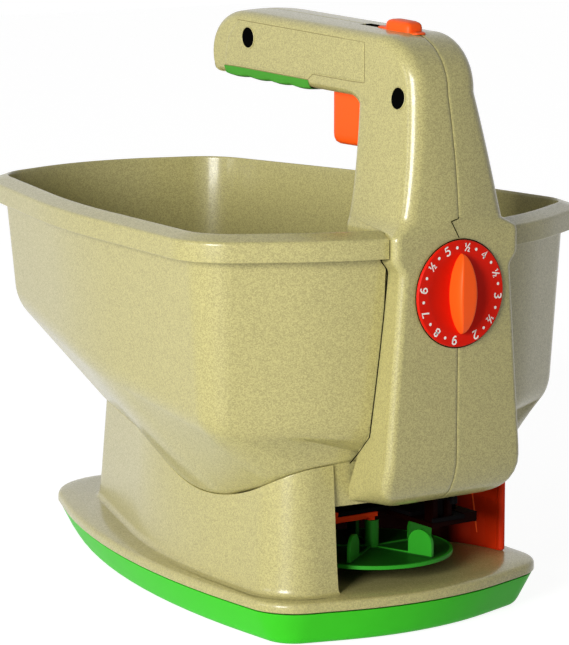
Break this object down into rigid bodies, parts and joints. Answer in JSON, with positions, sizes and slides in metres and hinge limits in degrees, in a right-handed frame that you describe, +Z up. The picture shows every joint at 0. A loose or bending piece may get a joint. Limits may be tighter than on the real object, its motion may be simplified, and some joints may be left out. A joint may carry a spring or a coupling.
{
  "type": "hand spreader",
  "caption": "Battery hand spreader with an open hopper, post handle, trigger-pulled gate, rate dial and a motor-driven vaned disc that throws seed through a front opening.",
  "frame": {"origin": "on the underside of the tray, below the middle of the platform", "axes": "+Z up; the dial and discharge opening face -Y; X = 0 is the seam plane of the housing"},
  "size_m": [0.2698, 0.3976, 0.3406],
  "materials": {
    "champagne_plastic": "fine metallic sparkle, satin",
    "green_plastic": "satin",
    "green_rubber": "soft matt",
    "orange_plastic": "satin",
    "red_plastic": "satin",
    "dark_plastic": "matt",
    "black_steel": "blackened",
    "steel": "brushed",
    "brass": "turned",
    "white_plastic": "matt",
    "cell_case": "satin"
  },
  "bodies": {
    "body": {"base_tray": "green_plastic", "pedestal": "champagne_plastic", "hopper": "champagne_plastic", "left_housing": "champagne_plastic", "right_housing": "champagne_plastic", "battery_door": "champagne_plastic", "grip_insert": "green_rubber", "deflector": "red_plastic", "chamber_deck": "orange_plastic", "shaft_bushings": "brass", "motor": "steel", "motor_bracket": "dark_plastic", "crank_pin": "steel", "trigger_pin": "steel", "trigger_spring": "steel", "micro_switch": "dark_plastic", "batteries": "cell_case", "battery_contacts": "steel", "housing_screws": "black_steel", "door_screw": "black_steel", "base_screws": "steel", "deck_screws": "steel", "bracket_screws": "steel"},
    "spinner": {"impeller": "green_plastic", "impeller_shaft": "steel", "drive_gear": "white_plastic"},
    "pinion": {"motor_pinion": "brass"},
    "trigger": {"trigger": "orange_plastic"},
    "rod": {"pull_rod": "steel"},
    "crank": {"bell_crank": "orange_plastic"},
    "gate": {"gate": "orange_plastic"},
    "dial": {"dial_knob": "red_plastic", "dial_shaft": "red_plastic", "dial_clip": "steel"},
    "slider": {"lock_slider": "orange_plastic"}
  },
  "joints": [
    {"name": "impeller_spin", "type": "hinge", "parent": "body", "child": "spinner", "pos_m": [0, -0.107, 0.04], "axis": [0, 0, 1], "continuous": true},
    {"name": "pinion_spin", "type": "hinge", "parent": "body", "child": "pinion", "pos_m": [0, -0.1415, 0.08], "axis": [0, 0, 1], "continuous": true},
    {"name": "trigger_swing", "type": "hinge", "parent": "body", "child": "trigger", "pos_m": [0, -0.113, 0.311], "axis": [-1, 0, 0], "range_deg": [0, 16], "stiffness_Nm_per_rad": 0.6, "springref_deg": -8.59},
    {"name": "rod_lift", "type": "slide", "parent": "body", "child": "rod", "axis": [0, 0, 1], "range_m": [0, 0.009]},
    {"name": "crank_swing", "type": "hinge", "parent": "body", "child": "crank", "pos_m": [0.014, -0.1505, 0.0755], "axis": [-1, 0, 0], "range_deg": [0, 36]},
    {"name": "gate_slide", "type": "slide", "parent": "body", "child": "gate", "axis": [0, -1, 0], "range_m": [0, 0.009]},
    {"name": "dial_turn", "type": "hinge", "parent": "body", "child": "dial", "pos_m": [0, -0.1855, 0.1946], "axis": [0, -1, 0], "range_deg": [-172, 155]},
    {"name": "slider_slide", "type": "slide", "parent": "body", "child": "slider", "axis": [0, 0.9974, 0.0715], "range_m": [0, 0.01]}
  ],
  "couplings": [
    {"joint": "pinion_spin", "follows": "impeller_spin", "ratio": -3.6},
    {"joint": "rod_lift", "follows": "trigger_swing", "m_per_rad": 0.028},
    {"joint": "crank_swing", "follows": "trigger_swing", "ratio": 2},
    {"joint": "gate_slide", "follows": "trigger_swing", "m_per_rad": 0.0272}
  ]
}
